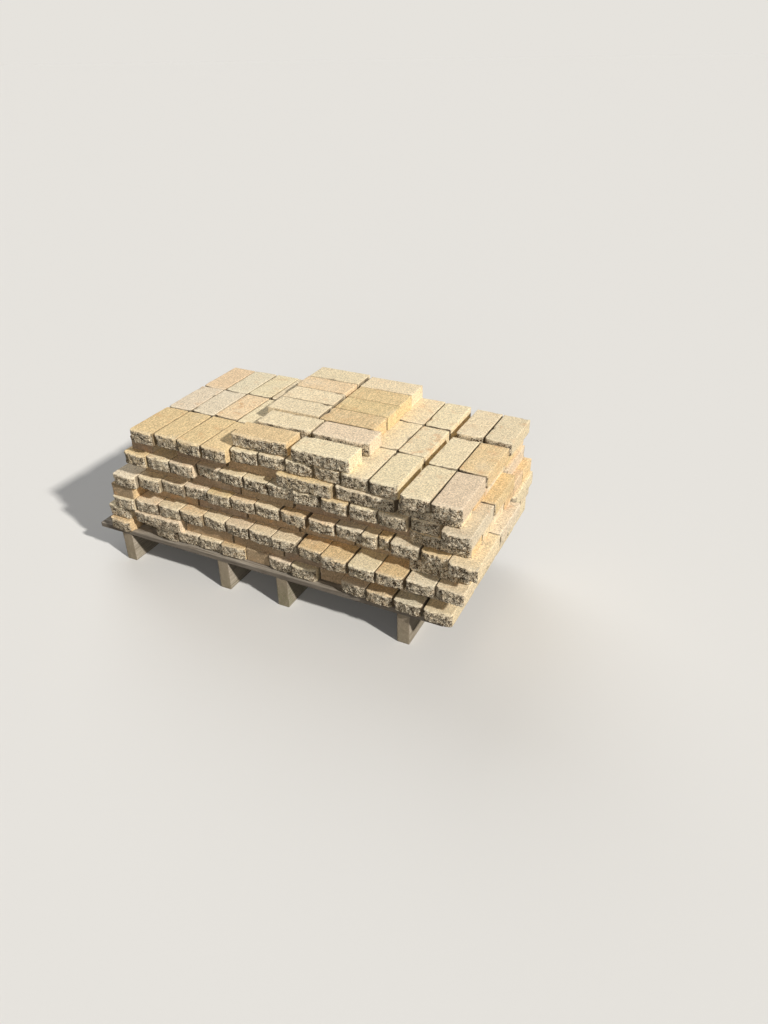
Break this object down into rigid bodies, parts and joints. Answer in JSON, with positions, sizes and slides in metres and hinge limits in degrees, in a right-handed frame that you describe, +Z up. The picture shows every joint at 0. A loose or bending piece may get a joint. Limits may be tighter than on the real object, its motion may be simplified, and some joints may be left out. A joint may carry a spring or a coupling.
{
  "type": "pallet of bricks",
  "caption": "Pallet of buff split-faced bricks, dry-stacked by hand in alternating header and stretcher courses on a low wooden pallet, with a part course on top.",
  "frame": {"origin": "on the floor, under the middle of the whole load, which reaches from the pallet's left end to the right side of the longest course", "axes": "+X along the front of the stack, to the right; +Y from the front to the back; +Z up"},
  "size_m": [1.5394, 0.7009, 0.64],
  "materials": {
    "brick": "matt, fine sandy, with rough split faces",
    "deck_wood": "weathered grey sawn softwood",
    "bearer_wood": "weathered sawn softwood, green with moss near the ground"
  },
  "bodies": {
    "root": {"brick_course_1": "brick", "brick_course_2": "brick", "brick_course_3": "brick", "brick_course_4": "brick", "brick_course_5": "brick", "brick_course_6": "brick", "brick_course_7": "brick", "brick_course_8": "brick", "brick_course_9": "brick", "brick_course_10": "brick", "deck_board_1": "deck_wood", "deck_board_2": "deck_wood", "deck_board_3": "deck_wood", "deck_board_4": "deck_wood", "deck_board_5": "deck_wood", "bearer_1": "bearer_wood", "bearer_2": "bearer_wood", "bearer_3": "bearer_wood", "bearer_4": "bearer_wood"}
  },
  "joints": []
}
